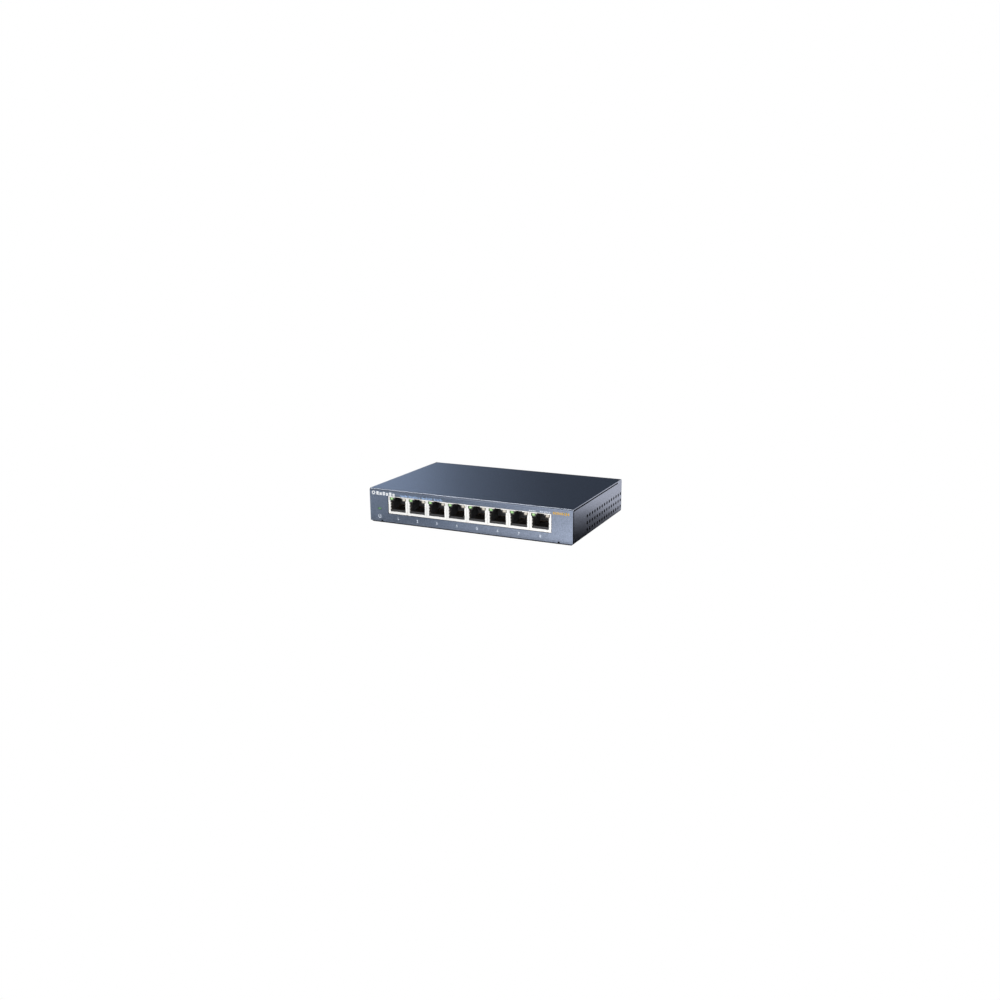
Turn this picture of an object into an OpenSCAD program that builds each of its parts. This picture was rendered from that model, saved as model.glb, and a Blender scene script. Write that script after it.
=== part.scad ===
// Eight-port desktop network switch in a folded steel case.
// X runs along the row of ports, the ports face -Y, and Z = 0 is the floor under the feet.
// Heights in the sections below are measured from the underside of the tray.

/* [Case] */
// Width of the case
case_w = 158; // [157:1:190]
// Depth of the case from the front face to the rear face
case_d = 101; // [100:1:130]
// Height of the case without its feet
case_h = 25; // [25:0.5:30]
// Thickness of the folded steel sheet
sheet = 0.8; // [0.7:0.1:0.9]
// Outside radius of the two bends of the cover
cover_bend = 1.6; // [1.6:0.1:2.4]
// Outside radius of the two bends of the tray
tray_bend = 1.6; // [1.4:0.1:1.8]
// Gap between the top plate and the top edge of a side panel
side_gap = 1.1; // [0.6:0.1:1.2]
// Gap between the front wall and the front edge of a side panel
front_gap = 1.6; // [0.8:0.1:1.6]
// Length of the ear at the rear of each side panel that reaches the top face
ear_l = 9; // [6:0.5:12]
// Height of the lower edge of the front wall
front_foot = 1; // [0.3:0.1:1.2]
// Height of the lower edge of the rear wall and of its flanges
wall_foot = 1; // [1:0.1:1.2]

/* [Side vents] */
// Diameter of one vent hole
vent_d = 2.5; // [1.5:0.1:3]
// Distance between neighbouring vent holes in a row
vent_pitch = 5.05; // [4:0.05:5.05]
// Distance between rows of vent holes
vent_row_pitch = 4.85; // [4:0.05:5]
// Vent holes in one row
vent_cols = 15; // [8:1:15]
// Rows of vent holes
vent_rows = 3; // [2:1:3]
// Distance of the last column of vents from the rear face
vent_rear = 2.5; // [2.4:0.1:6]
// Height of the lowest row of vents
vent_low = 4.35; // [4:0.05:5]

/* [Ports] */
// Ports in the row
port_count = 8; // [4:1:8]
// Distance between neighbouring ports
port_pitch = 15.875; // [15.8:0.025:16]
// Height of one shielded jack
jack_h = 12.8; // [12.8:0.1:13.2]
// Depth of one shielded jack
jack_depth = 17.6; // [16.6:0.2:19]
// Thickness of the plated shield
shield_t = 0.25; // [0.2:0.05:0.3]
// Width of the window in the shield's front
window_w = 12.5; // [12.4:0.1:12.6]
// Width of the plug cavity
cavity_w = 11.9; // [11.8:0.1:12]
// Depth of the plug cavity
cavity_depth = 13.6; // [13:0.2:14.4]
// Number of contact wires in each port
wire_count = 8; // [2:1:8]
// Distance between contact wires
wire_pitch = 1.016; // [0.9:0.001:1.05]
// Length of a contact wire along the cavity
wire_run = 8; // [7:0.2:8.4]
// Rise of a contact wire from its root to its crest
wire_rise = 2.1; // [1.6:0.1:2.3]

/* [Power inlet and lock slot] */
// Position of the power inlet along the rear wall
inlet_x = -56; // [-60:1:-40]
// Diameter of the inlet's bore
inlet_bore_d = 6.3; // [6:0.1:6.4]
// Diameter of the inlet's centre pin
inlet_pin_d = 2; // [1.6:0.1:2.1]
// Depth of the inlet's bore
inlet_bore_depth = 9.5; // [9:0.1:10]
// Position of the security slot along the rear wall
lock_x = 58; // [40:1:62]

/* [Underside] */
// Diameter of a rubber foot
foot_d = 10; // [8:0.5:11]
// Height of a rubber foot
foot_h = 2; // [1.5:0.1:3]
// Distance between the two keyholes for wall mounting
keyhole_spacing = 100; // [80:1:106]
// Diameter of a keyhole's entry
keyhole_d = 8; // [7:0.5:9]
// Width of a keyhole's slot
keyhole_slot = 4.4; // [4:0.1:4.8]

/* [Circuit board] */
// Height of the board's underside
board_z = 5.9; // [5.7:0.1:6]
// Thickness of the board
board_t = 1.6; // [1.4:0.1:1.8]
// Width of the board
board_w = 147; // [144:1:150]

/* [Hidden] */
$fn = 48;
eps = 0.01;
past = 1;                                // how far a cutting body runs past a face
port_names = [for (i = [1:port_count]) i];

steel_blue = [0.36, 0.42, 0.50];
plated = [0.90, 0.90, 0.86];
gold = [0.85, 0.62, 0.25];
jack_black = [0.06, 0.06, 0.06];
ic_black = [0.10, 0.10, 0.11];
tin = [0.75, 0.76, 0.77];

y_front = -case_d / 2;
y_rear = case_d / 2;
x_side = case_w / 2;

// Tray
tray_x = x_side - 0.2;                   // outer face of a side panel
panel_top = case_h - sheet - side_gap;
panel_front = y_front + sheet + front_gap;
plate_front = y_front + 1;               // the plate's front edge lies in the front wall's shadow
wall_clearance = 0.2;
tongue_x = [71, 76.5];                   // span of a locating tongue behind the front wall
tongue_top = 6.5;
notch_x = 69;                            // pry notches in the front wall's lower edge
notch_r = 0.75;
screw_x = 50;                            // case screws, near the rear edge
screw_y = y_rear - 6;
flange_w = 12;
flange_l = 9.2;

// M3 hardware
m3_r = 1.5;
m3_tapped_r = 1.52;
m3_clear_r = 1.65;
collar_r = 2.6;
case_head_h = 1.1;
board_head_h = 1.8;
head_r = 2.75;

// Board and what stands on it
board_top = board_z + board_t;
board_y0 = y_front + 3.7;
board_y1 = y_rear - 4.7;
standoff_r = 2.75;
standoff_collar_r = 2.1;
board_fixings = [for (x = [-69, 69], y = [-22, 22]) [x, y]];
foot_inset = [16, 17];                   // centre of a foot from the case's sides and faces

// Port row
jack_w = port_pitch - 0.175;
jack_face = y_front + 0.2;
jack_base = board_top;
jack_top = jack_base + jack_h;
window_margin = 0.25;
cavity_floor = jack_base + 2.1;
cavity_roof = jack_base + 9.7;
latch_wide = [3.5, jack_base + 11.3];    // half width and top of the wide latch step
latch_narrow = 2.5;                      // half width of the narrow latch step
led_in = 3.75;                           // inner and outer faces of a port light, from the centre
led_out = 6.45;
led_low = jack_base + 10.3;
led_high = jack_base + 12.1;
led_window = 6.9;                        // half width of the shield's window beside the lights
led_depth = 6.5;
finger_pocket = [13.2, 3];               // width and depth of the pocket for the side fingers
finger_z = [3.2, 5.3, 7.4];              // lower edge of each side finger above the jack's base
finger_w = 1.2;
wire_w = 0.45;
wire_t = 0.3;
wire_root = [jack_face + 2.1, cavity_floor + 0.55];
root_r = 0.3;
root_play = 0.04;

// Power light
power_x = -71;
power_z = 10.4;
power_size = [3.2, 1.4];

// Power inlet
inlet_size = [9, 14.1, 11];
inlet_face = y_rear - 0.2;
inlet_axis = board_top + 6.5;
shank_r = inlet_pin_d / 2 + 0.3;         // centre pin inside the housing's back wall
spring_root = [inlet_face - 10.8, inlet_axis - 4.1];
spring_r = 0.4;

// Security slot
lock_size = [7, 3];
lock_z = 14.5;

function port_x(i) = (i - (port_count + 1) / 2) * port_pitch;

// Unit normal of the step from a to b, turned a quarter turn to the left
function normal(a, b) = [a[1] - b[1], b[0] - a[0]] / norm(b - a);

// Offset of corner i of a polyline by d, mitred at the inner corners
function corner(path, i, d) =
    let (n0 = normal(path[max(i - 1, 0)], path[max(i, 1)]),
         n1 = normal(path[min(i, len(path) - 2)], path[min(i + 1, len(path) - 1)]),
         m = n0 + n1)
    path[i] + m * 2 * d / (m * m);

// Outline of a bent strip of thickness t along a polyline
function strip(path, t) = concat(
    [for (i = [0:len(path) - 1]) corner(path, i, t / 2)],
    [for (i = [len(path) - 1:-1:0]) corner(path, i, -t / 2)]);

// ---------- shared shapes ----------

// Raises what stands in the tray's own heights onto the feet
module on_feet() {
    translate([0, 0, foot_h]) children();
}

// Box from its low corner and its high corner
module box(low, high) {
    translate(low) cube(high - low);
}

// Extrudes an outline drawn in Y and Z along X, centred on x
module along_x(x, w) {
    translate([x - w / 2, 0, 0]) rotate([90, 0, 90]) linear_extrude(w) children();
}

// Rectangle from the origin with its two upper corners rounded
module arch(w, h, r) {
    square([w, h - r]);
    translate([r, 0]) square([w - 2 * r, h]);
    for (x = [r, w - r]) translate([x, h - r]) circle(r);
}

// Folded sheet in the shape of an upturned U, closed side up
module channel(w, h, r) {
    difference() {
        arch(w, h, r);
        translate([sheet, -past]) arch(w - 2 * sheet, h - sheet + past, r - sheet);
    }
}

// Bent spring strip with a round root that it turns on
module sprung_strip(x, w, path, t, r) {
    along_x(x, w) polygon(strip(path, t));
    along_x(x, w) translate(path[0]) circle(r);
}

// Slot with round ends, centred, lying along its first size
module slot(size) {
    for (x = [-1, 1]) translate([x * (size[0] - size[1]) / 2, 0]) circle(d = size[1]);
    square([size[0] - size[1], size[1]], center = true);
}

// Cross-shaped driver recess, cut downwards from z = 0
module cross_recess(depth) {
    for (a = [0, 90])
        rotate(a) translate([-1.5, -0.3, -depth]) cube([3, 0.6, depth + past]);
}

// Round disc whose lower edge is chamfered, standing on z = 0
module disc(r, h, chamfer) {
    cylinder(r1 = r - chamfer, r2 = r, h = chamfer);
    translate([0, 0, chamfer]) cylinder(r = r, h = h - chamfer);
}

// Bent leads along both sides of a package, all round the given positions
module gull_leads(half, positions, z_exit, w, t, reach) {
    path = [[half - 0.3, z_exit], [half + reach * 0.35, z_exit],
            [half + reach * 0.6, t / 2], [half + reach, t / 2]];
    for (side = [0, 180], p = positions)
        rotate(side) along_x(p, w) polygon(strip(path, t));
}

// ---------- case ----------

module cover_flange(x) {
    difference() {
        union() {
            box([x - flange_w / 2, y_rear - sheet - flange_l, wall_foot],
                [x + flange_w / 2, y_rear - sheet / 2, wall_foot + sheet]);
            translate([x, screw_y, wall_foot]) cylinder(r = collar_r, h = 2.6);
        }
        translate([x, screw_y, 0]) cylinder(r = m3_tapped_r, h = 6);
    }
}

module cover_openings() {
    port_half = port_count * port_pitch / 2 + window_margin;
    // window for the port row
    box([-port_half, y_front - past, jack_base - window_margin],
        [port_half, y_front + sheet + past, jack_top + window_margin]);
    // power light
    translate([power_x, y_front + 2, power_z]) rotate([90, 0, 0])
        linear_extrude(4) slot(power_size + [0.2, 0.2]);
    // pry notches
    for (x = [-notch_x, notch_x])
        translate([x, y_front + 2, front_foot + notch_r / 2]) rotate([90, 0, 0])
            cylinder(r = notch_r, h = 4);
    // power inlet
    box([inlet_x - inlet_size[0] / 2 - 0.25, y_rear - sheet - past, board_top - 0.3],
        [inlet_x + inlet_size[0] / 2 + 0.25, y_rear + past, board_top + inlet_size[2] + 0.3]);
    // security slot
    translate([lock_x, y_rear + 2, lock_z]) rotate([90, 0, 0]) linear_extrude(4) slot(lock_size);
    // room for the side panels' ears
    for (s = [-1, 1])
        translate([s * (x_side + 5 - sheet - 2 * wall_clearance), y_rear + 5 - ear_l - wall_clearance,
                   case_h / 2])
            cube([10, 10, case_h * 2], center = true);
}

module top_cover() {
    color(steel_blue) on_feet() {
        difference() {
            along_x(0, case_w) translate([y_front, 0]) channel(case_d, case_h, cover_bend);
            box([-case_w, -case_d, -past], [case_w, 0, front_foot]);
            box([-case_w, -eps, -past], [case_w, case_d, wall_foot]);
            cover_openings();
        }
        for (x = [-screw_x, screw_x]) cover_flange(x);
    }
}

module tray_ear(s) {
    corner_y = y_rear - cover_bend;
    corner_z = case_h - cover_bend;
    along_x(s * (tray_x - sheet / 2), sheet) difference() {
        translate([y_rear - ear_l, panel_top - 2]) square([ear_l, case_h - panel_top + 2]);
        translate([corner_y, corner_z]) difference() {
            square(cover_bend + past);
            circle(cover_bend);
        }
    }
}

module keyhole() {
    translate([0, 0, -past]) cylinder(d = keyhole_d, h = 4);
    translate([-keyhole_slot / 2, 0, -past]) cube([keyhole_slot, 9, 4]);
    translate([0, 9, -past]) cylinder(d = keyhole_slot, h = 4);
}

module vent_holes() {
    for (row = [0:vent_rows - 1], col = [0:vent_cols - 1])
        translate([-case_w, y_rear - vent_rear - col * vent_pitch, vent_low + row * vent_row_pitch])
            rotate([0, 90, 0]) cylinder(d = vent_d, h = 2 * case_w);
}

module base_tray() {
    color(steel_blue) on_feet() difference() {
        union() {
            difference() {
                translate([0, y_rear, 0]) rotate([90, 0, 0]) linear_extrude(y_rear - plate_front)
                    translate([-tray_x, panel_top]) mirror([0, 1])
                        channel(2 * tray_x, panel_top, tray_bend);
                // above their bends the side panels stop short of the front wall
                box([-case_w, -case_d, tray_bend], [case_w, panel_front, 2 * case_h]);
            }
            for (s = [-1, 1]) {
                tray_ear(s);
                along_x(s * (tongue_x[0] + tongue_x[1]) / 2, tongue_x[1] - tongue_x[0])
                    translate([plate_front, 0]) square([sheet, tongue_top]);
            }
        }
        vent_holes();
        for (s = [-1, 1]) {
            translate([s * keyhole_spacing / 2, 0, 0]) keyhole();
            translate([s * screw_x, screw_y, -past]) cylinder(r = m3_clear_r, h = 4);
        }
        for (p = board_fixings) translate([p[0], p[1], -past]) cylinder(r = standoff_collar_r, h = 4);
    }
}

module case_screws() {
    color(tin) on_feet() for (s = [-1, 1]) translate([s * screw_x, screw_y, 0]) {
        difference() {
            translate([0, 0, -case_head_h]) disc(head_r, case_head_h, 0.4);
            translate([0, 0, -case_head_h]) mirror([0, 0, 1]) cross_recess(0.7);
        }
        translate([0, 0, -eps]) cylinder(r = m3_r, h = 4.6);
    }
}

module rubber_foot(i) {
    sx = i % 2 == 0 ? 1 : -1;
    sy = i > 2 ? 1 : -1;
    color([0.12, 0.12, 0.12])
        translate([sx * (x_side - foot_inset[0]), sy * (y_rear - foot_inset[1]), 0])
            disc(foot_d / 2, foot_h, 0.6);
}

module blank_label() {
    color("white") on_feet() box([-24, -34, -0.15], [24, -10, 0]);
}

// ---------- board fixings ----------

module board_standoffs() {
    color(tin) on_feet() for (p = board_fixings) translate([p[0], p[1], 0]) difference() {
        union() {
            cylinder(r = standoff_collar_r, h = board_z);
            translate([0, 0, sheet]) cylinder(r = standoff_r, h = board_z - sheet);
        }
        translate([0, 0, -past]) cylinder(r = m3_tapped_r, h = board_z + 2 * past);
    }
}

module board_screws() {
    color(tin) on_feet() for (p = board_fixings) translate([p[0], p[1], board_top]) {
        difference() {
            mirror([0, 0, 1]) translate([0, 0, -board_head_h]) disc(head_r, board_head_h, 0.5);
            translate([0, 0, board_head_h]) cross_recess(1);
        }
        translate([0, 0, -5]) cylinder(r = m3_r, h = 5 + eps);
    }
}

module main_board() {
    color([0.05, 0.30, 0.14]) on_feet() difference() {
        box([-board_w / 2, board_y0, board_z], [board_w / 2, board_y1, board_top]);
        for (p = board_fixings) translate([p[0], p[1], 0]) cylinder(r = m3_clear_r, h = case_h);
    }
}

// ---------- one port ----------

module jack_cavity() {
    front = jack_face - past;
    rear = jack_face + cavity_depth;
    box([-cavity_w / 2, front, cavity_floor], [cavity_w / 2, rear, cavity_roof]);
    box([-finger_pocket[0] / 2, front, cavity_floor],
        [finger_pocket[0] / 2, jack_face + finger_pocket[1], cavity_roof]);
    box([-latch_wide[0], front, cavity_floor], [latch_wide[0], rear - 1.5, latch_wide[1]]);
    box([-latch_narrow, front, cavity_floor], [latch_narrow, rear - 4.5, jack_top + past]);
    for (s = [0, 1]) mirror([s, 0, 0])
        box([led_in - 0.05, front, led_low - 0.05],
            [led_out + 0.05, jack_face + led_depth + 0.3, led_high + 0.05]);
}

module jack_housing(i) {
    half = jack_w / 2 - shield_t - 0.05;
    body_front = jack_face + shield_t;
    color(jack_black) on_feet() translate([port_x(i), 0, 0]) difference() {
        union() {
            difference() {
                box([-half, body_front, jack_base],
                    [half, jack_face + jack_depth - shield_t - 0.05, jack_top - shield_t - 0.05]);
                jack_cavity();
            }
            // bar that carries the wires' roots
            box([-finger_pocket[0] / 2 - eps, wire_root[0] - 1.1, cavity_floor - eps],
                [finger_pocket[0] / 2 + eps, wire_root[0] - 0.05, cavity_floor + 0.9]);
        }
        along_x(0, wire_pitch * wire_count + 0.4) translate(wire_root) circle(root_r + root_play);
    }
}

module shield_window() {
    front = jack_face - past;
    back = jack_face + shield_t + eps;
    box([-window_w / 2, front, jack_base + 1.7], [window_w / 2, back, led_low]);
    box([-led_window, front, led_low - 0.1], [led_window, back, led_high + 0.05]);
    box([-latch_narrow, front, led_low], [latch_narrow, back, jack_top - shield_t]);
}

// Short spring fingers folded back from the window's side edges
module shield_fingers() {
    edge = window_w / 2 + shield_t / 2;
    path = [[edge, jack_face + shield_t / 2], [cavity_w / 2 - 0.15, jack_face + 1.3],
            [cavity_w / 2 + 0.25, jack_face + 2.4]];
    for (s = [0, 1], z = finger_z)
        mirror([s, 0, 0]) translate([0, 0, jack_base + z]) linear_extrude(finger_w) polygon(strip(path, 0.2));
}

module jack_shield(i) {
    half = jack_w / 2;
    color(plated) on_feet() translate([port_x(i), 0, 0]) union() {
        difference() {
            box([-half, jack_face, jack_base], [half, jack_face + jack_depth, jack_top]);
            box([-half + shield_t, jack_face + shield_t, jack_base - past],
                [half - shield_t, jack_face + jack_depth - shield_t, jack_top - shield_t]);
            shield_window();
        }
        shield_fingers();
    }
}

// Contact wires of one port, with round roots that turn in the housing's bar
module jack_contacts(i) {
    crest = wire_root + [wire_run, wire_rise];
    color(gold) on_feet() for (k = [0:wire_count - 1])
        sprung_strip(port_x(i) + (k - (wire_count - 1) / 2) * wire_pitch, wire_w,
                     [wire_root, crest, crest + [1.3, -0.35]], wire_t, root_r);
}

// One row of port lights, on the side s of every port, each with a domed face
module port_leds(s, tone) {
    mid = (led_in + led_out) / 2;
    dome_r = 4;
    color(tone) on_feet() for (i = port_names)
        translate([port_x(i) + s * mid, 0, 0]) intersection() {
            box([led_in - mid, jack_face, led_low], [led_out - mid, jack_face + led_depth, led_high]);
            translate([0, jack_face + dome_r, led_low - past])
                union() {
                    cylinder(r = dome_r, h = 4);
                    translate([-3, 0, 0]) cube([6, 10, 4]);
                }
        }
}

// ---------- power light ----------

module power_light_pipe() {
    y0 = jack_face - 0.1;
    leg = [y0 + 4.1, y0 + 7.1];
    color([0.55, 0.85, 0.55]) on_feet() translate([power_x, 0, 0]) difference() {
        union() {
            translate([0, y0, power_z]) rotate([-90, 0, 0]) linear_extrude(leg[0] - y0 + 1)
                slot(power_size);
            box([-1.7, leg[0], board_top], [1.7, leg[1], power_z + power_size[1] / 2]);
        }
        box([-1.1, leg[0] + 0.7, 0], [1.1, leg[1] - 0.5, board_top + 1.1]);
    }
}

module power_led() {
    y0 = jack_face + 4.9;
    color([0.4, 0.9, 0.4]) on_feet() translate([power_x, 0, 0])
        box([-0.8, y0, board_top], [0.8, y0 + 1.2, board_top + 0.7]);
}

// ---------- power inlet ----------

module inlet_housing() {
    y0 = inlet_face - inlet_size[1];
    half = inlet_size[0] / 2;
    color(jack_black) on_feet() translate([inlet_x, 0, 0]) difference() {
        union() {
            box([-half, inlet_face - 3.4, board_top], [half, inlet_face, board_top + inlet_size[2]]);
            box([-half + 0.5, y0, board_top], [half - 0.5, inlet_face - 3, inlet_axis]);
            translate([0, y0, inlet_axis]) rotate([-90, 0, 0])
                cylinder(r = half - 0.5, h = inlet_size[1] - 3);
        }
        translate([0, inlet_face - inlet_bore_depth, inlet_axis]) rotate([-90, 0, 0])
            cylinder(d = inlet_bore_d, h = inlet_bore_depth + past);
        translate([0, y0 - past, inlet_axis]) rotate([-90, 0, 0])
            cylinder(r = shank_r, h = inlet_size[1] - inlet_bore_depth + past + eps);
        // channel for the side spring under the bore
        box([-1.2, spring_root[0] - spring_r - root_play, spring_root[1] - spring_r - root_play],
            [1.2, inlet_face - 0.8, inlet_axis - 2.6]);
    }
}

// Centre pin with a thicker shank that is held in the housing's back wall
module inlet_pin() {
    free_l = inlet_bore_depth - 0.6;
    color(tin) on_feet() translate([inlet_x, inlet_face - inlet_bore_depth, inlet_axis])
        rotate([-90, 0, 0]) {
            translate([0, 0, inlet_bore_depth - inlet_size[1] - 0.6]) cylinder(r = 2, h = 0.6);
            translate([0, 0, inlet_bore_depth - inlet_size[1] - 0.3])
                cylinder(r = shank_r, h = inlet_size[1] - inlet_bore_depth + 0.3);
            translate([0, 0, -eps]) cylinder(d = inlet_pin_d, h = free_l + eps);
            translate([0, 0, free_l]) cylinder(d1 = inlet_pin_d, d2 = inlet_pin_d - 0.8, h = 0.4);
        }
}

module inlet_spring() {
    crest = spring_root + [6.4, 1.45];
    color(tin) on_feet()
        sprung_strip(inlet_x, 1.8, [spring_root, crest, crest + [2, -0.7]], 0.3, spring_r);
}

// ---------- chips and power parts ----------

chip_at = [4, 8];
chip_size = [20, 14, 1.4];
sink_size = [30, 26, 10];
sink_base = 1.6;
pad_t = 0.4;

module on_board(x, y) {
    on_feet() translate([x, y, board_top]) children();
}

// Moulded package raised off the board, with a pin-one dimple
module package(size) {
    difference() {
        translate([-size[0] / 2, -size[1] / 2, 0.1]) cube(size);
        translate([1 - size[0] / 2, 1 - size[1] / 2, size[2]]) cylinder(r = 0.4, h = past);
    }
}

module switch_chip() {
    color(ic_black) on_board(chip_at[0], chip_at[1]) package(chip_size);
}

module switch_chip_leads() {
    long = [for (k = [-11:11]) k * 0.8];
    short = [for (k = [-7:7]) k * 0.8];
    color(tin) on_board(chip_at[0], chip_at[1]) {
        gull_leads(chip_size[1] / 2 + 0.3, long, 0.75, 0.3, 0.15, 1);
        rotate(90) gull_leads(chip_size[0] / 2 + 0.3, short, 0.75, 0.3, 0.15, 1);
    }
}

module thermal_pad() {
    color([0.6, 0.7, 0.75]) on_board(chip_at[0], chip_at[1])
        box([-8, -6, chip_size[2] + 0.1], [8, 6, chip_size[2] + 0.1 + pad_t]);
}

module heat_sink() {
    fins = 9;
    fin_w = 1.2;
    step = (sink_size[0] - fin_w) / (fins - 1);
    color([0.25, 0.26, 0.28]) on_board(chip_at[0], chip_at[1])
        translate([-sink_size[0] / 2, -sink_size[1] / 2, chip_size[2] + 0.1 + pad_t]) {
            cube([sink_size[0], sink_size[1], sink_base]);
            for (k = [0:fins - 1])
                translate([k * step, 0, 0]) cube([fin_w, sink_size[1], sink_size[2]]);
        }
}

magnetics_size = [12.6, 15.4, 5.8];
magnetics_y = jack_face + jack_depth + 12.5;

module magnetics_modules() {
    color(ic_black) for (i = port_names) on_board(port_x(i), magnetics_y) package(magnetics_size);
}

module magnetics_leads() {
    spots = [for (k = [-5.5:5.5]) k];
    color(tin) for (i = port_names) on_board(port_x(i), magnetics_y)
        gull_leads(magnetics_size[1] / 2 + 0.3, spots, 1.6, 0.4, 0.2, 1.6);
}

// Standing electrolytic capacitor with a rolled groove
module can_capacitor(r, h) {
    difference() {
        disc(r, h, 0.4);
        translate([0, 0, 1.6]) rotate_extrude() translate([r + 0.25, 0]) circle(0.5);
    }
}

module bulk_capacitors() {
    color([0.10, 0.12, 0.20]) {
        for (x = [-40, -30]) on_board(x, 34) can_capacitor(4, 12);
        on_board(-66, 10) can_capacitor(3.15, 11);
        on_board(30, 30) can_capacitor(3.15, 8);
    }
}

module power_inductors() {
    color([0.20, 0.20, 0.21]) for (p = [[-50, 22], [-36, 18]]) on_board(p[0], p[1]) difference() {
        translate([0, 0, 0.1]) intersection() {
            translate([-3.6, -3.6, 0]) cube([7.2, 7.2, 4]);
            rotate(45) translate([-4.2, -4.2, 0]) cube([8.4, 8.4, 4]);
        }
        translate([0, 0, 3.6]) difference() {
            cylinder(r = 3.1, h = past);
            cylinder(r = 2.6, h = past);
        }
    }
}

// Eight-lead small outline package, body and leads in one solid
module small_package() {
    package([4.9, 3.9, 1.5]);
    gull_leads(2.15, [-1.905, -0.635, 0.635, 1.905], 0.8, 0.42, 0.2, 1.1);
}

module regulator_chips() {
    color(ic_black) for (p = [[-48, 10], [-34, 8]]) on_board(p[0], p[1]) small_package();
}

module flash_chip() {
    color(ic_black) on_board(30, 14) small_package();
}

module crystal() {
    color(tin) on_board(-18, 12) {
        linear_extrude(0.5) slot([11.4, 4.9]);
        linear_extrude(3.5) slot([10.6, 4.1]);
    }
}

module chip_capacitors() {
    color([0.60, 0.50, 0.36]) {
        for (i = port_names, dx = [-4, 0, 4])
            on_board(port_x(i) + dx, magnetics_y + 12) box([-0.8, -0.4, 0], [0.8, 0.4, 0.8]);
        for (k = [0:5]) on_board(36 + k * 4, 6) box([-0.6, -1, 0], [0.6, 1, 1]);
        for (k = [0:4]) on_board(-62 + k * 5, 2) box([-0.6, -1, 0], [0.6, 1, 1]);
    }
}

// ---------- what is drawn ----------

top_cover();
base_tray();
case_screws();
blank_label();
for (i = [1:4]) rubber_foot(i);
board_standoffs();
board_screws();
main_board();
for (i = port_names) {
    jack_housing(i);
    jack_shield(i);
    jack_contacts(i);
}
port_leds(-1, [0.45, 0.85, 0.35]);  // link_leds
port_leds(1, [0.90, 0.82, 0.66]);  // speed_leds
power_led();
power_light_pipe();
inlet_housing();
inlet_pin();
inlet_spring();
switch_chip();
switch_chip_leads();
thermal_pad();
heat_sink();
magnetics_modules();
magnetics_leads();
bulk_capacitors();
power_inductors();
regulator_chips();
flash_chip();
crystal();
chip_capacitors();
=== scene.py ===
"""Looks of the eight-port desktop network switch: materials, printing, light, floor and camera."""

import math

import bpy
from mathutils import Matrix, Vector


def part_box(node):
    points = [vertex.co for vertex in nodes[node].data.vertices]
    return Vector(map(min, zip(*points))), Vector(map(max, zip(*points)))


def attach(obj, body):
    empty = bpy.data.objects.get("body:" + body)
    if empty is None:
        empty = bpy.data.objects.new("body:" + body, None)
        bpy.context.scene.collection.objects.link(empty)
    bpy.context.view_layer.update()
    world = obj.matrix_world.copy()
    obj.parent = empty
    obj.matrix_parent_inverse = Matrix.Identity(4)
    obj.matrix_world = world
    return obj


MM = 0.001
PORTS = range(1, 9)
PORT_LAMP = (2.7 * MM, 1.8 * MM)         # face of one port lamp, width and height
POWER_LAMP = (3.2 * MM, 1.4 * MM)        # face of the power light
SHEET = 0.8 * MM                         # thickness of the case's sheet
EDGE_TOL = 0.05 * MM
TRAY_BEND_H = 1.5 * MM                   # the tray's side bends end this far above its underside
COVER_BEND_H = 2.2 * MM                  # the cover's front bend ends this far below its top
WALL_SKIN = 0.1 * MM                     # kept off both faces of the front wall

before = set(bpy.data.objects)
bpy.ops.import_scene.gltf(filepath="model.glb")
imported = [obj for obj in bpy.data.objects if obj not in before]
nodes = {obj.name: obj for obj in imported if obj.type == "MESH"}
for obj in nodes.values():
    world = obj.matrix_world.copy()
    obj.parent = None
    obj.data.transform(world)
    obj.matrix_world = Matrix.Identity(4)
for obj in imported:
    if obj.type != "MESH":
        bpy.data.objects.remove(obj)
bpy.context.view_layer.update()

case_low, case_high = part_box("top_cover")
front_y = case_low.y


# ---------- node helpers ----------

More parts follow.
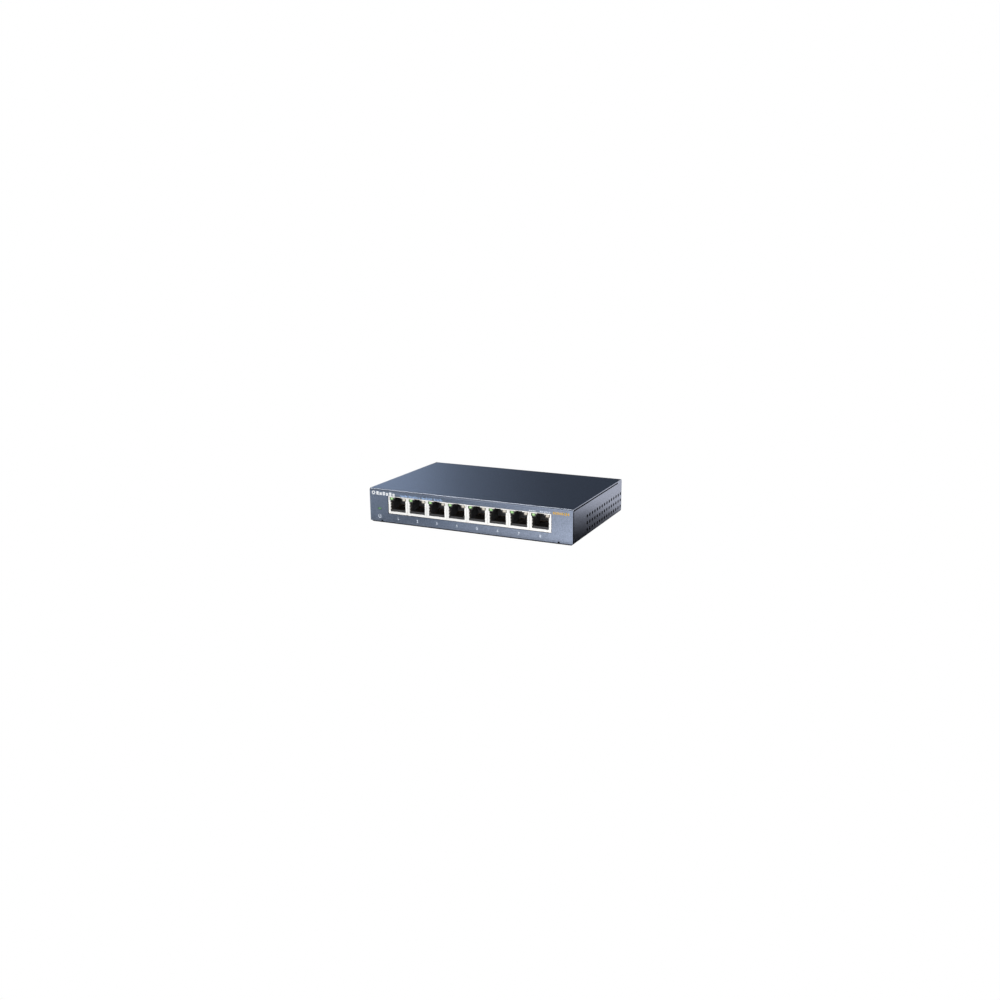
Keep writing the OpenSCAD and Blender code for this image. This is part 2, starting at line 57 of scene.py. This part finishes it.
class Shader:
    """A principled material and a short way to add nodes to it."""

    def __init__(self, name, color, metallic=0.0, roughness=0.5, **inputs):
        self.mat = bpy.data.materials.new(name)
        self.mat.use_nodes = True
        self.tree = self.mat.node_tree
        self.bsdf = self.tree.nodes["Principled BSDF"]
        self.coords = self.tree.nodes.new("ShaderNodeTexCoord").outputs["Object"]
        self.set("Base Color", (*color, 1.0))
        self.set("Metallic", metallic)
        self.set("Roughness", roughness)
        for key, value in inputs.items():
            self.set(key.replace("_", " "), value)

    def set(self, socket, value):
        self.bsdf.inputs[socket].default_value = value

    def node(self, kind, links=None, **values):
        n = self.tree.nodes.new(kind)
        for key, value in values.items():
            setattr(n, key, value)
        for socket, source in (links or {}).items():
            if isinstance(source, bpy.types.NodeSocket):
                self.tree.links.new(source, n.inputs[socket])
            else:
                n.inputs[socket].default_value = source
        return n

    def feed(self, socket, source):
        self.tree.links.new(source, self.bsdf.inputs[socket])

    def stretched(self, scale):
        return self.node("ShaderNodeMapping", {"Vector": self.coords, "Scale": scale}).outputs["Vector"]

    def noise(self, scale, detail=2.0, rough=0.5, vector=None):
        return self.node("ShaderNodeTexNoise", {"Vector": vector or self.coords, "Scale": scale,
                                                "Detail": detail, "Roughness": rough}).outputs["Fac"]

    def remap(self, source, low, high, from_low=0.0, from_high=1.0):
        links = {"Value": source, "From Min": from_low, "From Max": from_high, "To Min": low, "To Max": high}
        return self.node("ShaderNodeMapRange", links).outputs["Result"]

    def math(self, operation, a, b):
        return self.node("ShaderNodeMath", {0: a, 1: b}, operation=operation).outputs[0]

    def ramp(self, source, stops):
        n = self.node("ShaderNodeValToRGB", {"Fac": source})
        elements = n.color_ramp.elements
        while len(elements) < len(stops):
            elements.new(0.5)
        for element, (place, color) in zip(elements, stops):
            element.position = place
            element.color = (*color, 1.0)
        return n.outputs["Color"]

    def mix(self, factor, a, b):
        n = self.node("ShaderNodeMix", data_type="RGBA")
        for socket, source in ((n.inputs[0], factor), (n.inputs[6], a), (n.inputs[7], b)):
            if isinstance(source, bpy.types.NodeSocket):
                self.tree.links.new(source, socket)
            elif socket is n.inputs[0]:
                socket.default_value = source
            else:
                socket.default_value = (*source, 1.0)
        return n.outputs[2]

    def bump(self, height, strength, distance, normal=None):
        links = {"Height": height, "Strength": strength, "Distance": distance}
        if normal is not None:
            links["Normal"] = normal
        return self.node("ShaderNodeBump", links).outputs["Normal"]

    def soft_edges(self, radius):
        return self.node("ShaderNodeBevel", {"Radius": radius}, samples=6).outputs["Normal"]


def tinted(color, factor):
    return tuple(min(1.0, c * factor) for c in color)


# ---------- materials ----------

def within(s, value, low, high):
    """1 where the value lies between two limits, else 0."""
    return s.math("MULTIPLY", s.math("GREATER_THAN", value, low), s.math("LESS_THAN", value, high))


def side_cuts(s, place, facing):
    """Where the side panels get painted shade: the walls of the vent holes, their top edge and front edge,
    and every front-facing edge, such as the floor's front edge.
    """
    panel_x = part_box("base_tray")[1].x - SHEET - EDGE_TOL
    bend_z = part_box("base_tray")[0].z + TRAY_BEND_H
    on_panel = s.math("GREATER_THAN", s.math("ABSOLUTE", place["X"], 0.0), panel_x)
    above = s.math("GREATER_THAN", place["Z"], bend_z)
    sideways = s.math("LESS_THAN", s.math("ABSOLUTE", facing["X"], 0.0), 0.5)
    front = s.math("LESS_THAN", facing["Y"], -0.5)
    shaded_walls = s.math("MULTIPLY", s.math("MULTIPLY", on_panel, above), sideways)
    return s.math("MAXIMUM", shaded_walls, front)


def front_cuts(s, place, facing):
    """Where the front wall gets painted shade: the cut edges of its openings and of its sides."""
    in_wall = within(s, place["Y"], front_y + WALL_SKIN, front_y + SHEET - WALL_SKIN)
    below_bend = s.math("LESS_THAN", place["Z"], case_high.z - COVER_BEND_H)
    sideways = s.math("LESS_THAN", s.math("ABSOLUTE", facing["Y"], 0.0), 0.5)
    return s.math("MULTIPLY", s.math("MULTIPLY", in_wall, below_bend), sideways)


def powder_coat(name, shade_mask):
    """Slate-blue powder coat with a fine metallic fleck and a faint orange peel; the edges picked by the mask
    get a near-black painted shade.
    """
    base = (0.270, 0.325, 0.425)
    s = Shader(name, base, metallic=0.98, roughness=0.30)
    fleck = s.noise(5200, detail=1.0)
    coarse = s.noise(1400, detail=2.5, rough=0.75, vector=s.stretched((1.0, 0.5, 1.0)))
    cloud = s.noise(14, detail=3.0)
    mixed = s.math("ADD", s.math("MULTIPLY", fleck, 0.35), s.math("MULTIPLY", coarse, 0.65))
    grain = s.ramp(mixed, [(0.36, tinted(base, 0.76)), (0.50, base), (0.64, tinted(base, 1.28))])
    paint = s.mix(s.remap(cloud, 0.0, 0.12), grain, tinted(base, 0.85))
    place = s.node("ShaderNodeSeparateXYZ", {"Vector": s.coords}).outputs
    true_normal = s.node("ShaderNodeNewGeometry").outputs["True Normal"]
    facing = s.node("ShaderNodeSeparateXYZ", {"Vector": true_normal}).outputs
    # near-black painted shade on the walls of holes, gaps and openings, where shade falls
    edge = shade_mask(s, place, facing)
    s.feed("Base Color", s.mix(edge, paint, (0.020, 0.020, 0.022)))
    s.feed("Roughness", s.remap(mixed, 0.25, 0.36))
    peel = s.bump(s.noise(620, detail=2.0), 0.04, 0.00004)
    s.feed("Normal", s.bump(fleck, 0.06, 0.00002, peel))
    return s.mat


def nickel_sheet():
    """Bright nickel plate with a faint rolling grain and handling smudges, turning dark brown as painted
    shade from 0.4 mm behind its face.
    """
    base = (0.95, 0.945, 0.91)
    s = Shader("jack_nickel_plate", base, metallic=0.25, roughness=0.36)
    grain = s.noise(900, detail=3.0, vector=s.stretched((0.08, 1.0, 1.0)))
    smudge = s.noise(160, detail=4.0, rough=0.6)
    plate = s.mix(s.remap(smudge, 0.0, 0.30), base, tinted(base, 0.88))
    y = s.node("ShaderNodeSeparateXYZ", {"Vector": s.coords}).outputs["Y"]
    face_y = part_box("jack_shield_1")[0].y
    shade_from, shade_full = face_y + 0.4 * MM, face_y + 0.9 * MM
    # painted shade: deeper behind the face the plate turns dark brown, where the jack's inside is in shade
    inside = s.remap(y, 0.0, 1.0, shade_from, shade_full)
    s.feed("Base Color", s.mix(inside, plate, (0.085, 0.070, 0.055)))
    s.feed("Roughness", s.remap(smudge, 0.30, 0.44))
    s.feed("Normal", s.bump(grain, 0.10, 0.00002, s.soft_edges(0.00006)))
    return s.mat


def moulded(name, color, roughness, grain_scale=2200, edge=0.00008, **inputs):
    """Moulded plastic or rubber with a fine spark-eroded grain."""
    s = Shader(name, color, roughness=roughness, **inputs)
    grain = s.noise(grain_scale, detail=3.0, rough=0.6)
    flow = s.noise(90, detail=2.0)
    s.feed("Base Color", s.mix(s.remap(flow, 0.0, 0.6), color, tinted(color, 1.35)))
    s.feed("Roughness", s.remap(grain, roughness - 0.07, roughness + 0.07))
    s.feed("Normal", s.bump(grain, 0.16, 0.00003, s.soft_edges(edge)))
    return s.mat


def plated(name, color, roughness, stretch=(1.0, 1.0, 1.0), scale=1400):
    """Plated or drawn metal with a directional grain."""
    s = Shader(name, color, metallic=1.0, roughness=roughness)
    grain = s.noise(scale, detail=3.0, vector=s.stretched(stretch))
    tarnish = s.noise(220, detail=3.0)
    s.feed("Base Color", s.mix(s.remap(tarnish, 0.0, 0.4), color, tinted(color, 0.78)))
    s.feed("Roughness", s.remap(grain, roughness - 0.06, roughness + 0.08))
    s.feed("Normal", s.bump(grain, 0.12, 0.00002, s.soft_edges(0.00004)))
    return s.mat


def contact_wire():
    """Dark bronze wire, gold-plated where it meets the plug's blades; the bronze's darkness is partly painted
    shade.
    """
    bronze, gold = (0.30, 0.22, 0.16), (0.72, 0.50, 0.28)
    s = Shader("contact_plate", gold, metallic=1.0, roughness=0.40)
    plated_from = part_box("jack_contacts_1")[1].y - 3.2 * MM
    plated_full = plated_from + 1.2 * MM
    y = s.node("ShaderNodeSeparateXYZ", {"Vector": s.coords}).outputs["Y"]
    plating = s.remap(y, 0.0, 1.0, plated_from, plated_full)
    tarnish = s.noise(420, detail=3.0)
    bright = s.mix(s.remap(tarnish, 0.0, 0.5), gold, tinted(gold, 0.7))
    # gold band at the crest is real plating; the dark bronze elsewhere is partly painted shade of the jack's
    # inside
    s.feed("Base Color", s.mix(plating, bronze, bright))
    s.feed("Roughness", s.remap(tarnish, 0.34, 0.50))
    s.feed("Normal", s.soft_edges(0.00004))
    return s.mat


def lamp_distance(s, node, count, face):
    """Distance from the middle of the nearest of a row of lamps, 1 at the edge of its face."""
    low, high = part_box(node)
    pitch = (high.x - low.x - face[0]) / (count - 1) if count > 1 else 4 * face[0]
    first = low.x + face[0] / 2 if count > 1 else (low.x + high.x) / 2
    xyz = s.node("ShaderNodeSeparateXYZ", {"Vector": s.coords}).outputs
    phase = s.math("DIVIDE", s.math("SUBTRACT", xyz["X"], first - pitch / 2), pitch)
    across = s.math("MULTIPLY", s.math("SUBTRACT", s.math("FRACT", phase, 0.0), 0.5), 2 * pitch / face[0])
    upward = s.math("DIVIDE", s.math("SUBTRACT", xyz["Z"], high.z - face[1] / 2), face[1] / 2)
    squares = s.math("ADD", s.math("MULTIPLY", across, across), s.math("MULTIPLY", upward, upward))
    return s.math("SQRT", squares, 0.0)


def light_lens(name, node, count, face, color, rim_shade, glow):
    """Tinted lens of a lamp with a soft glow: a painted highlight in its middle and painted shade towards the
    edge of its face.
    """
    s = Shader(name, color, roughness=0.22, IOR=1.5)
    away = lamp_distance(s, node, count, face)
    body = s.noise(700, detail=1.0)
    # painted highlight in the middle and painted shade at the edge of the face; this colour also feeds the
    # glow
    lens = s.ramp(away, [(0.0, tinted(color, 1.15)), (0.60, color), (1.0, rim_shade)])
    s.feed("Base Color", s.mix(s.remap(body, 0.0, 0.3), lens, tinted(color, 0.75)))
    s.set("Emission Strength", glow)
    s.feed("Emission Color", lens)
    s.feed("Normal", s.bump(body, 0.05, 0.00005, s.soft_edges(0.0001)))
    return s.mat


def solder_mask():
    """Green solder mask with copper tracks faintly raised under it."""
    base = (0.010, 0.110, 0.045)
    s = Shader("board_solder_mask", base, roughness=0.30)
    tracks = s.node("ShaderNodeTexBrick", {"Vector": s.coords, "Scale": 180.0, "Mortar Size": 0.10,
                                           "Mortar Smooth": 0.1, "Brick Width": 1.9, "Row Height": 0.32},
                    offset=0.37, offset_frequency=3).outputs["Fac"]
    patches = s.remap(s.noise(60, detail=1.0), 0.0, 1.0, 0.42, 0.58)
    copper = s.math("MULTIPLY", tracks, patches)
    s.feed("Base Color", s.mix(copper, base, (0.030, 0.230, 0.100)))
    s.feed("Roughness", s.remap(s.noise(300, detail=3.0), 0.24, 0.38))
    s.feed("Normal", s.bump(copper, 0.5, 0.00004))
    return s.mat


def ink(name, color):
    """Screen-printed ink, a little uneven."""
    s = Shader(name, color, roughness=0.45)
    cover = s.noise(1800, detail=3.0, rough=0.7)
    s.feed("Base Color", s.mix(s.remap(cover, 0.0, 0.25, 0.45, 0.75), color, tinted(color, 0.6)))
    s.feed("Roughness", s.remap(cover, 0.38, 0.55))
    return s.mat


def sticker():
    """Plain paper label with a faint fibre."""
    base = (0.80, 0.80, 0.78)
    s = Shader("label_paper", base, roughness=0.6)
    fibre = s.noise(900, detail=5.0, rough=0.7, vector=s.stretched((0.4, 1.0, 1.0)))
    s.feed("Base Color", s.mix(s.remap(fibre, 0.0, 0.3), base, tinted(base, 0.88)))
    s.feed("Normal", s.bump(fibre, 0.12, 0.00002))
    return s.mat


def wear(mat, *names):
    for name in names:
        slots = nodes[name].material_slots
        for slot in slots:
            slot.material = mat


def numbered(prefix, numbers):
    return [f"{prefix}_{i}" for i in numbers]


wear(powder_coat("cover_powder_coat", front_cuts), "top_cover")
wear(powder_coat("tray_powder_coat", side_cuts), "base_tray")
wear(nickel_sheet(), *numbered("jack_shield", PORTS))
wear(moulded("jack_black_plastic", (0.045, 0.045, 0.046), 0.42), *numbered("jack_housing", PORTS))
wear(contact_wire(), *numbered("jack_contacts", PORTS))
wear(light_lens("link_light_green", "link_leds", 8, PORT_LAMP,
                color=(0.34, 0.58, 0.25), rim_shade=(0.05, 0.08, 0.04), glow=0.12), "link_leds")
wear(light_lens("speed_light_clear", "speed_leds", 8, PORT_LAMP,
                color=(0.57, 0.53, 0.46), rim_shade=(0.30, 0.27, 0.22), glow=0.03), "speed_leds")
wear(light_lens("power_light_green", "power_led", 1, POWER_LAMP,
                color=(0.10, 0.75, 0.20), rim_shade=(0.05, 0.35, 0.1), glow=0.5), "power_led")
wear(light_lens("power_pipe_green", "power_light_pipe", 1, POWER_LAMP,
                color=(0.12, 0.26, 0.13), rim_shade=(0.06, 0.12, 0.07), glow=0.05), "power_light_pipe")
wear(moulded("foot_rubber", (0.020, 0.020, 0.020), 0.78, 900), *numbered("rubber_foot", range(1, 5)))
wear(sticker(), "blank_label")
wear(plated("screw_zinc_plate", (0.72, 0.73, 0.75), 0.28), "case_screws", "board_screws")
wear(plated("standoff_steel", (0.60, 0.59, 0.57), 0.36), "board_standoffs")
wear(moulded("inlet_black_plastic", (0.016, 0.016, 0.017), 0.38), "inlet_housing")
wear(plated("inlet_nickel_plate", (0.76, 0.75, 0.72), 0.24, (1.0, 0.1, 1.0)), "inlet_pin", "inlet_spring")
wear(solder_mask(), "main_board")
wear(moulded("chip_compound", (0.022, 0.022, 0.024), 0.55, 3000), "switch_chip", "magnetics_modules")
wear(plated("tinned_leads", (0.66, 0.66, 0.66), 0.38), "switch_chip_leads", "magnetics_leads")
wear(moulded("small_chip_compound", (0.030, 0.030, 0.033), 0.50, 3000), "flash_chip", "regulator_chips")
wear(moulded("thermal_pad_silicone", (0.33, 0.40, 0.46), 0.70, 800), "thermal_pad")
wear(plated("sink_black_anodised", (0.045, 0.045, 0.050), 0.45, (1.0, 0.05, 1.0)), "heat_sink")
wear(moulded("capacitor_blue_sleeve", (0.020, 0.030, 0.075), 0.30, 600), "bulk_capacitors")
wear(moulded("inductor_ferrite", (0.050, 0.050, 0.052), 0.62, 1600), "power_inductors")
wear(plated("crystal_steel_can", (0.70, 0.70, 0.71), 0.25), "crystal")
wear(moulded("capacitor_ceramic", (0.42, 0.31, 0.19), 0.45, 2500), "chip_capacitors")


# ---------- printing on the front ----------

white_ink = ink("print_white", (0.70, 0.72, 0.74))
pale_ink = ink("print_pale", (0.60, 0.66, 0.74))
blue_ink = ink("print_light_blue", (0.36, 0.52, 0.80))
orange_ink = ink("print_orange", (0.58, 0.33, 0.012))
INK_T = 0.02 * MM
DIGIT_H = 2.0                            # height of a port number in mm
DIGIT_TO_SIZE = 0.73                     # height of a digit over the font's size


def on_front(x, z):
    """Stands a flat shape drawn in X and Y on the front wall, x and z in metres."""
    return Matrix.Translation((x, front_y, z)) @ Matrix.Rotation(math.pi / 2, 4, "X")


def printed(name, curve, mat, place):
    """Turns a flat curve or a digit into a thin mesh on the front wall."""
    curve.extrude = INK_T
    source = bpy.data.objects.new(name + "_source", curve)
    bpy.context.scene.collection.objects.link(source)
    bpy.context.view_layer.update()
    mesh = bpy.data.meshes.new_from_object(source.evaluated_get(bpy.context.evaluated_depsgraph_get()))
    bpy.data.objects.remove(source)
    mesh.transform(place)
    mesh.materials.clear()
    mesh.materials.append(mat)
    mesh.name = name
    piece = bpy.data.objects.new(name, mesh)
    bpy.context.scene.collection.objects.link(piece)
    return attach(piece, "case")


def outline(loops):
    """A filled flat curve from closed loops of points in mm; a loop inside another is a hole."""
    curve = bpy.data.curves.new("outline", "CURVE")
    curve.dimensions = "2D"
    curve.fill_mode = "BOTH"
    for loop in loops:
        spline = curve.splines.new("POLY")
        spline.points.add(len(loop) - 1)
        for point, (x, y) in zip(spline.points, loop):
            point.co = (x * MM, y * MM, 0.0, 1.0)
        spline.use_cyclic_u = True
    return curve


def bar(x, y, w, h, r=0.25, steps=5):
    """Rounded rectangle from its low corner, in mm."""
    loop = []
    for cx, cy, start in ((x + w - r, y + r, -90), (x + w - r, y + h - r, 0),
                          (x + r, y + h - r, 90), (x + r, y + r, 180)):
        for k in range(steps + 1):
            a = math.radians(start + 90 * k / steps)
            loop.append((cx + r * math.cos(a), cy + r * math.sin(a)))
    return loop


def blocks(x, y, count, w, gap, low, tall, every):
    """Row of plain blocks in place of a printed word; each one in so many is taller."""
    return [bar(x + k * (w + gap), y, w, tall if k % every == 0 else low, 0.15) for k in range(count)]


def arc_band(cx, cy, r_out, r_in, start, end, steps=24):
    """Band between two arcs, in mm and degrees."""
    angles = [math.radians(start + (end - start) * k / steps) for k in range(steps + 1)]
    return ([(cx + r_out * math.cos(a), cy + r_out * math.sin(a)) for a in angles]
            + [(cx + r_in * math.cos(a), cy + r_in * math.sin(a)) for a in reversed(angles)])


def digit(text, height):
    """A digit of that height in mm, with its foot at y = 0 and its middle at x = 0."""
    curve = bpy.data.curves.new("digit", "FONT")
    curve.body = text
    curve.size = height * MM / DIGIT_TO_SIZE
    curve.align_x = "CENTER"
    curve.offset = 0.07 * MM
    return curve


tray_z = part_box("base_tray")[0].z
for i in PORTS:
    low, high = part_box(f"jack_shield_{i}")
    foot_z = 3.1 if i < 4 else 3.4       # numbers 4 to 8 stand a little higher
    printed(f"print_digit_{i}", digit(str(i), DIGIT_H), pale_ink,
            on_front((low.x + high.x) / 2, tray_z + foot_z * MM))

marks = {
    "print_mark": (white_ink, [arc_band(-75.7, 21.85, 1.45, 0.7, 0, 360)]
                   + blocks(-73.3, 20.5, 6, 1.9, 0.8, 2.0, 2.6, 2)),
    "print_description": (blue_ink, blocks(-53.0, 20.6, 5, 0.6, 0.6, 1.2, 1.8, 3)
                          + blocks(-46.2, 20.6, 8, 0.6, 0.6, 1.2, 1.8, 4)
                          + blocks(-35.5, 20.6, 7, 0.6, 0.6, 1.2, 1.8, 3)
                          + blocks(-25.7, 20.6, 6, 0.6, 0.6, 1.2, 1.8, 4)),
    "print_lamp_marks": (pale_ink, blocks(47.4, 20.8, 4, 0.8, 0.5, 0.9, 1.1, 2)
                         + blocks(55.4, 20.8, 6, 0.8, 0.5, 0.9, 1.1, 3)),
    "print_orange_blocks": (orange_ink, blocks(64.9, 20.4, 8, 0.85, 0.65, 1.7, 1.9, 2)),
    "print_power_symbol": (pale_ink, [arc_band(-71.2, 4.6, 1.35, 0.95, 125, 415),
                                      bar(-71.4, 4.6, 0.4, 1.5, 0.1)]),
}
for name, (mat, loops) in marks.items():
    printed(name, outline(loops), mat, on_front(0.0, tray_z))


# ---------- camera ----------

CAM_AZ, CAM_EL, CAM_ROLL = (math.radians(a) for a in (25.507, 13.972, -0.432))
CAM_PLACE = (0.30108, -0.62747, 0.18740)
CAM_LENS = 34.87
fwd = Vector((-math.sin(CAM_AZ) * math.cos(CAM_EL), math.cos(CAM_AZ) * math.cos(CAM_EL), -math.sin(CAM_EL)))
right = fwd.cross(Vector((0, 0, 1))).normalized()
up = right.cross(fwd)
cam_x = right * math.cos(CAM_ROLL) + up * math.sin(CAM_ROLL)
cam_y = up * math.cos(CAM_ROLL) - right * math.sin(CAM_ROLL)
cam_data = bpy.data.cameras.new("camera")
cam_data.sensor_width = 36.0
cam_data.lens = CAM_LENS
camera = bpy.data.objects.new("camera", cam_data)
camera.matrix_world = Matrix.Translation(CAM_PLACE) @ Matrix((cam_x, cam_y, -fwd)).transposed().to_4x4()
bpy.context.scene.collection.objects.link(camera)
bpy.context.scene.camera = camera


# ---------- floor and light ----------

def flat_mesh(name, corners):
    mesh = bpy.data.meshes.new(name)
    mesh.from_pydata(corners, [], [tuple(range(len(corners)))])
    obj = bpy.data.objects.new(name, mesh)
    bpy.context.scene.collection.objects.link(obj)
    return obj


def emitter(name, color, strength):
    mat = bpy.data.materials.new(name)
    mat.use_nodes = True
    tree = mat.node_tree
    tree.nodes.clear()
    glow = tree.nodes.new("ShaderNodeEmission")
    glow.inputs["Color"].default_value = (*color, 1.0)
    glow.inputs["Strength"].default_value = strength
    out = tree.nodes.new("ShaderNodeOutputMaterial")
    tree.links.new(glow.outputs[0], out.inputs["Surface"])
    return mat, tree, glow


def split_for_camera(tree, others, seen, output):
    """Shows the second shader to the camera and the first to every other ray."""
    path = tree.nodes.new("ShaderNodeLightPath")
    choose = tree.nodes.new("ShaderNodeMixShader")
    tree.links.new(path.outputs["Is Camera Ray"], choose.inputs["Fac"])
    tree.links.new(others.outputs[0], choose.inputs[1])
    tree.links.new(seen.outputs[0], choose.inputs[2])
    tree.links.new(choose.outputs[0], tree.nodes[output].inputs["Surface"])


def pale_floor():
    """White to the camera, and a plain matt grey to every other ray."""
    mat, tree, glow = emitter("pale_floor", (1.0, 1.0, 1.0), 1.0)
    dull = tree.nodes.new("ShaderNodeBsdfDiffuse")
    dull.inputs["Color"].default_value = (0.55, 0.55, 0.55, 1.0)
    split_for_camera(tree, dull, glow, "Material Output")
    return mat


FLOOR_Z = -0.1 * MM                      # just below the feet, so that no two faces share a plane
FLOOR_R = 6
floor = flat_mesh("floor", [(-FLOOR_R, -FLOOR_R, FLOOR_Z), (FLOOR_R, -FLOOR_R, FLOOR_Z),
                            (FLOOR_R, FLOOR_R, FLOOR_Z), (-FLOOR_R, FLOOR_R, FLOOR_Z)])
floor.data.materials.append(pale_floor())


GAIN = 2.0                               # lets a card's colours pass 1


def glossy_card(name, corners, stops, start, end):
    """A card that only reflections see. Its brightness runs from start to end along the stops."""
    card = flat_mesh(name, corners)
    card.visible_camera = False
    card.visible_diffuse = False
    card.visible_shadow = False
    card.visible_transmission = False
    mat, tree, glow = emitter(name, (1, 1, 1), GAIN)
    coords = tree.nodes.new("ShaderNodeTexCoord").outputs["Object"]
    start, end = Vector(start), Vector(end)
    along = end - start
    shift = tree.nodes.new("ShaderNodeVectorMath")
    shift.operation = "SUBTRACT"
    shift.inputs[1].default_value = start
    tree.links.new(coords, shift.inputs[0])
    dot = tree.nodes.new("ShaderNodeVectorMath")
    dot.operation = "DOT_PRODUCT"
    dot.inputs[1].default_value = along / along.length_squared
    tree.links.new(shift.outputs["Vector"], dot.inputs[0])
    ramp = tree.nodes.new("ShaderNodeValToRGB")
    elements = ramp.color_ramp.elements
    while len(elements) < len(stops):
        elements.new(0.5)
    for element, (place, color) in zip(elements, stops):
        element.position = place
        element.color = (*color, 1.0)
    tree.links.new(dot.outputs["Value"], ramp.inputs["Fac"])
    tree.links.new(ramp.outputs["Color"], glow.inputs["Color"])
    card.data.materials.append(mat)
    return card


def area_light(name, place, target, size, power, color=(1, 1, 1)):
    data = bpy.data.lights.new(name, "AREA")
    data.shape = "RECTANGLE"
    data.size, data.size_y = size
    data.energy = power
    data.color = color
    lamp = bpy.data.objects.new(name, data)
    lamp.location = place
    lamp.rotation_euler = (Vector(target) - Vector(place)).to_track_quat("-Z", "Y").to_euler()
    bpy.context.scene.collection.objects.link(lamp)
    return lamp


def toward(azimuth, distance):
    """Point on the floor at that distance from the middle, its azimuth in degrees to the left of +Y."""
    a = math.radians(azimuth)
    return Vector((-math.sin(a) * distance, math.cos(a) * distance, 0.0))


def grey(value, tint=(0.95, 0.98, 1.04)):
    """Tinted grey for a card, so that GAIN brings it to the value."""
    return tinted(tint, value / GAIN)


CARD_Z = 0.4 * MM                        # cards that stand in for the floor lie just above it
CARD_R = 1.2                             # how far they reach
SCREEN_Y = -1.3                          # screen and softbox in front
WARM, COOL, PALE = (0.98, 0.92, 0.92), (0.84, 0.99, 1.25), (1.02, 0.98, 0.98)
side_x = case_high.x
# floor as the front wall sees it: darker at the left, bright at the right
card_y = front_y - 0.010
glossy_card("card_front", [(-0.9, -CARD_R, CARD_Z), (0.9, -CARD_R, CARD_Z), (0.9, card_y, CARD_Z),
                           (-0.9, card_y, CARD_Z)],
            [(0.0, grey(0.54)), (0.36, grey(0.52)), (0.47, grey(0.29)), (0.56, grey(0.41)),
             (0.64, grey(0.62)), (0.80, grey(0.86, PALE)), (0.92, grey(1.12, PALE)), (1.0, grey(1.40, PALE))],
            (-0.19, 0, 0), (0.07, 0, 0))
# screen in front, mirrored in the bend of the cover
glossy_card("card_bend", [(-1.6, SCREEN_Y, 0.06), (0.1, SCREEN_Y, 0.06), (0.1, SCREEN_Y, 1.3),
                          (-1.6, SCREEN_Y, 1.3)],
            [(0.0, grey(0.18)), (0.30, grey(0.30)), (0.60, grey(1.00, PALE)), (1.0, grey(1.70, PALE))],
            (-0.95, 0, 0), (-0.40, 0, 0))
# floor as the right side sees it, with a painted shadow of the case: dark beside the case, bright towards the
# back
card_x = side_x - 0.001
glossy_card("card_side", [(card_x, front_y, CARD_Z), (CARD_R, front_y, CARD_Z), (CARD_R, CARD_R, CARD_Z),
                          (card_x, CARD_R, CARD_Z)],
            [(0.0, grey(0.02, WARM)), (0.13, grey(0.04, WARM)), (0.22, grey(0.12, WARM)),
             (0.375, grey(0.22, WARM)), (0.46, grey(0.66, WARM)), (0.60, grey(1.02, WARM)),
             (1.0, grey(1.10, WARM))],
            (side_x, -0.040, 0), (side_x + 0.117, 0.106, 0))
# tall panel at the back left, mirrored in the top plate; its edge makes the plate's diagonal step
LEFT_R = 1.5
near, far, upward = toward(75, LEFT_R), toward(10, LEFT_R), Vector((0, 0, 0.9))
glossy_card("card_left", [near, far, far + upward, near + upward],
            [(0.0, grey(0.55, COOL)), (0.17, grey(0.43, COOL)), (0.27, grey(0.34, COOL)),
             (0.34, grey(0.23, COOL)), (0.66, grey(0.15, COOL)), (1.0, grey(0.08, COOL))],
            toward(34, LEFT_R), toward(22, LEFT_R))

# thin light along the cover's front bend
area_light("top_softbox", (-0.44, 0.01, 0.9), (-0.44, 0.01, 0), (0.52, 0.15), 2.7, (1.0, 0.90, 0.78))
# lights the jacks and the printing, and stays out of the paint's reflections
area_light("front_softbox", (0.0, SCREEN_Y, 0.60), (0, 0, 0), (1.6, 0.80), 25.0).visible_glossy = False

world = bpy.data.worlds.new("studio")
bpy.context.scene.world = world
world.use_nodes = True
wt = world.node_tree
background = wt.nodes["Background"]
background.inputs["Color"].default_value = (0.024, 0.032, 0.054, 1.0)
background.inputs["Strength"].default_value = 1.0
backdrop = wt.nodes.new("ShaderNodeBackground")
backdrop.inputs["Color"].default_value = (1.0, 1.0, 1.0, 1.0)
backdrop.inputs["Strength"].default_value = 1.0
split_for_camera(wt, background, backdrop, "World Output")

bpy.context.scene.view_settings.view_transform = "Standard"
bpy.context.scene.view_settings.look = "None"
